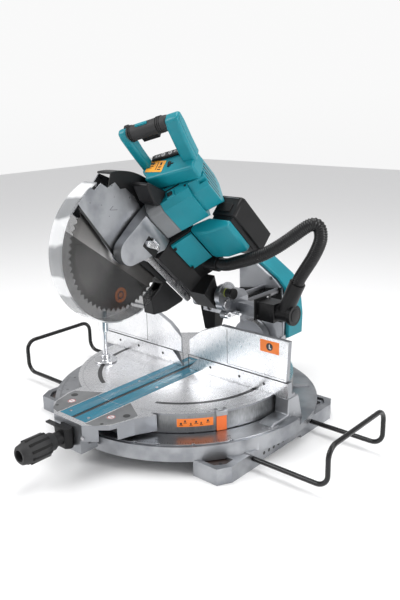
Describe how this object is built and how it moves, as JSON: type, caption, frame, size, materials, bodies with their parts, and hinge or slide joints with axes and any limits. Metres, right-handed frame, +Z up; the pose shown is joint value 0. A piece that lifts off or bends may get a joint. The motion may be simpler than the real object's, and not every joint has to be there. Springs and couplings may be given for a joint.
{
  "type": "slide compound mitre saw",
  "caption": "Cordless slide compound mitre saw on its own base: mitre turntable, tilting arm on twin slide rods, chopping head with guards, vise, hose and work holders.",
  "frame": {"origin": "on the ground, on the turntable axis, midway between the four bench bolt holes", "axes": "+X to the right of the operator, +Y to the back, +Z up; the fence face is the plane Y = 0"},
  "size_m": [1.112, 0.9844, 0.8327],
  "materials": {
    "cast_silver": "satin cast",
    "table_silver": "machined",
    "scale_steel": null,
    "steel": "bright",
    "chrome": "polished",
    "dark_steel": "ground",
    "black_rod": "semi-gloss black",
    "black_cast": "textured black",
    "teal_plastic": "satin moulded",
    "grey_band": "satin moulded",
    "black_plastic": "fine texture",
    "black_rubber": "soft grip",
    "hose_rubber": "corrugated",
    "board_blue": "satin",
    "orange_plastic": "gloss",
    "clear_plastic": "clear, smoked rim",
    "blade_steel": "ground with tipped teeth"
  },
  "bodies": {
    "base": {"base_casting": "cast_silver", "scale_plate": "scale_steel", "centre_bolt": "steel", "fence_lower": "table_silver", "fence_bolts": "steel", "vise_post": "chrome"},
    "turntable": {"turntable": "table_silver", "kerf_board_left": "board_blue", "kerf_board_right": "board_blue", "kerf_screws": "steel", "mitre_pointer": "orange_plastic", "lock_neck": "black_cast"},
    "arm": {"arm_casting": "cast_silver", "arm_cover": "teal_plastic", "arm_face": "black_plastic", "slide_rods": "dark_steel", "bevel_shaft": "steel"},
    "carriage": {"carriage": "cast_silver", "dust_duct": "black_plastic", "pivot_pin": "steel", "return_spring": "steel", "dust_elbow": "black_plastic", "elbow_cap": "black_plastic", "arc_cover": "scale_steel", "dust_hose": "hose_rubber"},
    "head": {"gear_housing": "cast_silver", "head_arm": "black_cast", "side_cover": "teal_plastic", "upper_guard": "black_cast", "guard_cover": "cast_silver", "motor_housing": "teal_plastic", "motor_band": "grey_band", "motor_cap": "teal_plastic", "handle_body": "teal_plastic", "handle_grip": "black_rubber", "led_wing": "black_plastic", "battery_mount": "teal_plastic", "dust_nozzle": "black_plastic"},
    "lower guard": {"lower_guard": "clear_plastic"},
    "guard link": {"guard_link": "steel"},
    "blade": {"saw_blade": "blade_steel", "spindle": "steel"},
    "rotor": {"motor_rotor": "dark_steel"},
    "trigger": {"trigger": "black_plastic"},
    "lock-off": {"lock_off": "teal_plastic"},
    "battery": {"battery": "black_plastic"},
    "mitre lock grip": {"lock_grip": "black_rubber"},
    "detent lever": {"detent_lever": "black_plastic"},
    "bevel lever": {"bevel_lever": "black_plastic"},
    "slide knob": {"slide_knob": "black_plastic"},
    "stop lever": {"stop_lever": "chrome"},
    "upper fence left": {"fence_upper_left": "table_silver"},
    "upper fence right": {"fence_upper_right": "table_silver"},
    "fence knob left": {"fence_knob_left": "black_plastic"},
    "fence knob right": {"fence_knob_right": "black_plastic"},
    "holder left": {"holder_left": "black_rod"},
    "holder right": {"holder_right": "black_rod"},
    "vise arm": {"vise_arm": "chrome"},
    "vise screw": {"vise_screw": "chrome", "vise_pad": "chrome"}
  },
  "joints": [
    {"name": "mitre", "type": "hinge", "parent": "base", "child": "turntable", "pos_m": [0, 0, 0.08], "axis": [0, 0, 1], "range_deg": [-60, 60]},
    {"name": "bevel", "type": "hinge", "parent": "turntable", "child": "arm", "pos_m": [0, 0.3, 0.13], "axis": [0, 1, 0], "range_deg": [-35, 22]},
    {"name": "head_slide", "type": "slide", "parent": "arm", "child": "carriage", "axis": [0, -1, 0], "range_m": [-0.15, 0]},
    {"name": "chop", "type": "hinge", "parent": "carriage", "child": "head", "pos_m": [0.054, 0.044, 0.324], "axis": [1, 0, 0], "range_deg": [0, 43.7], "stiffness_Nm_per_rad": 24, "springref_deg": -97.4, "deforming": ["dust_hose"]},
    {"name": "guard_turn", "type": "hinge", "parent": "head", "child": "lower guard", "pos_m": [0, -0.22683, 0.50811], "axis": [1, 0, 0], "range_deg": [-116, 0]},
    {"name": "guard_link_turn", "type": "hinge", "parent": "head", "child": "guard link", "pos_m": [0.015, -0.15136, 0.51761], "axis": [1, 0, 0], "range_deg": [0, 5]},
    {"name": "blade_spin", "type": "hinge", "parent": "head", "child": "blade", "pos_m": [0, -0.22683, 0.50811], "axis": [1, 0, 0], "continuous": true},
    {"name": "rotor_spin", "type": "hinge", "parent": "head", "child": "rotor", "pos_m": [0.011, -0.10681, 0.58015], "axis": [0.7431, 0.4623, 0.4838], "continuous": true},
    {"name": "trigger_pull", "type": "slide", "parent": "head", "child": "trigger", "axis": [0, -0.723, 0.6909], "range_m": [0, 0.004], "stiffness_N_per_m": 600, "springref_m": -0.003},
    {"name": "lock_off_push", "type": "slide", "parent": "head", "child": "lock-off", "axis": [0.9336, 0.2476, 0.2591], "range_m": [0, 0.01], "stiffness_N_per_m": 200, "springref_m": -0.004},
    {"name": "battery_slide", "type": "slide", "parent": "head", "child": "battery", "axis": [0, 0.723, -0.6909], "range_m": [0, 0.06]},
    {"name": "lock_grip_turn", "type": "hinge", "parent": "turntable", "child": "mitre lock grip", "pos_m": [0, -0.5, 0.092], "axis": [0, 1, 0], "range_deg": [0, 90]},
    {"name": "detent_press", "type": "hinge", "parent": "turntable", "child": "detent lever", "pos_m": [-0.018, -0.432, 0.112], "axis": [0, 1, 0], "range_deg": [-12, 0], "stiffness_Nm_per_rad": 0.4, "springref_deg": 11.46},
    {"name": "bevel_lever_turn", "type": "hinge", "parent": "arm", "child": "bevel lever", "pos_m": [0, 0.4, 0.13], "axis": [0, 1, 0], "range_deg": [-30, 30]},
    {"name": "slide_knob_turn", "type": "hinge", "parent": "carriage", "child": "slide knob", "pos_m": [0.12, 0.042, 0.358], "axis": [1, 0, 0], "range_deg": [0, 180]},
    {"name": "stop_lever_turn", "type": "hinge", "parent": "carriage", "child": "stop lever", "pos_m": [0.117, 0.046, 0.294], "axis": [1, 0, 0], "range_deg": [0, 20]},
    {"name": "fence_left_slide", "type": "slide", "parent": "base", "child": "upper fence left", "axis": [-1, 0, 0], "range_m": [0, 0.23]},
    {"name": "fence_right_slide", "type": "slide", "parent": "base", "child": "upper fence right", "axis": [1, 0, 0], "range_m": [0, 0.23]},
    {"name": "fence_knob_left_turn", "type": "hinge", "parent": "base", "child": "fence knob left", "pos_m": [-0.3, 0.03, 0.156], "axis": [0, 1, 0], "range_deg": [-60, 0]},
    {"name": "fence_knob_right_turn", "type": "hinge", "parent": "base", "child": "fence knob right", "pos_m": [0.3, 0.03, 0.156], "axis": [0, 1, 0], "range_deg": [0, 60]},
    {"name": "holder_left_slide", "type": "slide", "parent": "base", "child": "holder left", "axis": [-1, 0, 0], "range_m": [-0.09, 0.05]},
    {"name": "holder_right_slide", "type": "slide", "parent": "base", "child": "holder right", "axis": [1, 0, 0], "range_m": [-0.09, 0.05]},
    {"name": "vise_swing", "type": "hinge", "parent": "base", "child": "vise arm", "pos_m": [-0.27, 0.045, 0.29], "axis": [0, 0, -1], "range_deg": [0, 55]},
    {"name": "vise_screw_lift", "type": "slide", "parent": "vise arm", "child": "vise screw", "axis": [0, 0, 1], "range_m": [0, 0.04]}
  ],
  "couplings": [
    {"joint": "guard_turn", "follows": "chop", "ratio": -2.63},
    {"joint": "guard_link_turn", "follows": "chop", "ratio": 0.1},
    {"joint": "rotor_spin", "follows": "blade_spin", "ratio": 6}
  ]
}
